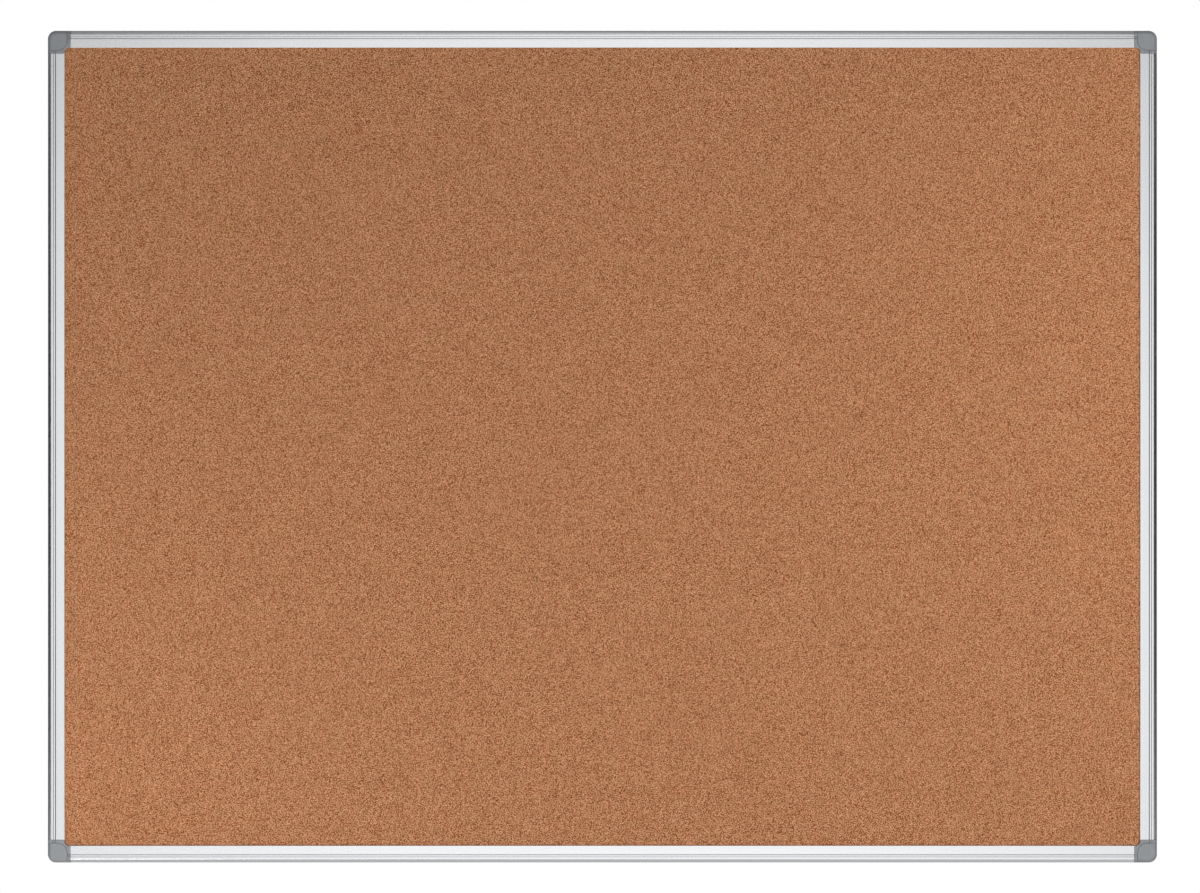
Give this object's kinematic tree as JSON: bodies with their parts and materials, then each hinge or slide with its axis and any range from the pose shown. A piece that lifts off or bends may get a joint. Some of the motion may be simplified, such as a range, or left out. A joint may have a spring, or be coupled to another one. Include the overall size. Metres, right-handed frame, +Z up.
{
  "type": "cork board",
  "caption": "Wall-hung cork pin board in a slim aluminium frame, with grey plastic corners whose press-on caps hide the wall screws.",
  "frame": {"origin": "middle of the board's outline on the wall plane, level with the rear faces of the corners", "axes": "+X right and +Z up as seen from the front, +Y into the wall; the cork faces -Y"},
  "size_m": [1.2, 0.014, 0.9],
  "materials": {
    "cork": "matte",
    "softboard": "matte",
    "backing_paper": "matte",
    "satin_aluminium": "satin",
    "grey_plastic": "matte",
    "zinc_plated_steel": "satin"
  },
  "bodies": {
    "board": {"cork_sheet": "cork", "softboard_core": "softboard", "backing_sheet": "backing_paper", "rail_top": "satin_aluminium", "rail_bottom": "satin_aluminium", "rail_left": "satin_aluminium", "rail_right": "satin_aluminium", "corner_base_top_left": "grey_plastic", "corner_base_top_right": "grey_plastic", "corner_base_bottom_left": "grey_plastic", "corner_base_bottom_right": "grey_plastic", "screw_top_left_in_top_rail": "zinc_plated_steel", "screw_top_left_in_left_rail": "zinc_plated_steel", "screw_top_right_in_top_rail": "zinc_plated_steel", "screw_top_right_in_right_rail": "zinc_plated_steel", "screw_bottom_left_in_bottom_rail": "zinc_plated_steel", "screw_bottom_left_in_left_rail": "zinc_plated_steel", "screw_bottom_right_in_bottom_rail": "zinc_plated_steel", "screw_bottom_right_in_right_rail": "zinc_plated_steel"},
    "cap_top_left": {"corner_cap_top_left": "grey_plastic"},
    "cap_top_right": {"corner_cap_top_right": "grey_plastic"},
    "cap_bottom_left": {"corner_cap_bottom_left": "grey_plastic"},
    "cap_bottom_right": {"corner_cap_bottom_right": "grey_plastic"}
  },
  "joints": [
    {"name": "pull_cap_top_left", "type": "slide", "parent": "board", "child": "cap_top_left", "axis": [0, -1, 0], "range_m": [0, 0.016]},
    {"name": "pull_cap_top_right", "type": "slide", "parent": "board", "child": "cap_top_right", "axis": [0, -1, 0], "range_m": [0, 0.016]},
    {"name": "pull_cap_bottom_left", "type": "slide", "parent": "board", "child": "cap_bottom_left", "axis": [0, -1, 0], "range_m": [0, 0.016]},
    {"name": "pull_cap_bottom_right", "type": "slide", "parent": "board", "child": "cap_bottom_right", "axis": [0, -1, 0], "range_m": [0, 0.016]}
  ]
}
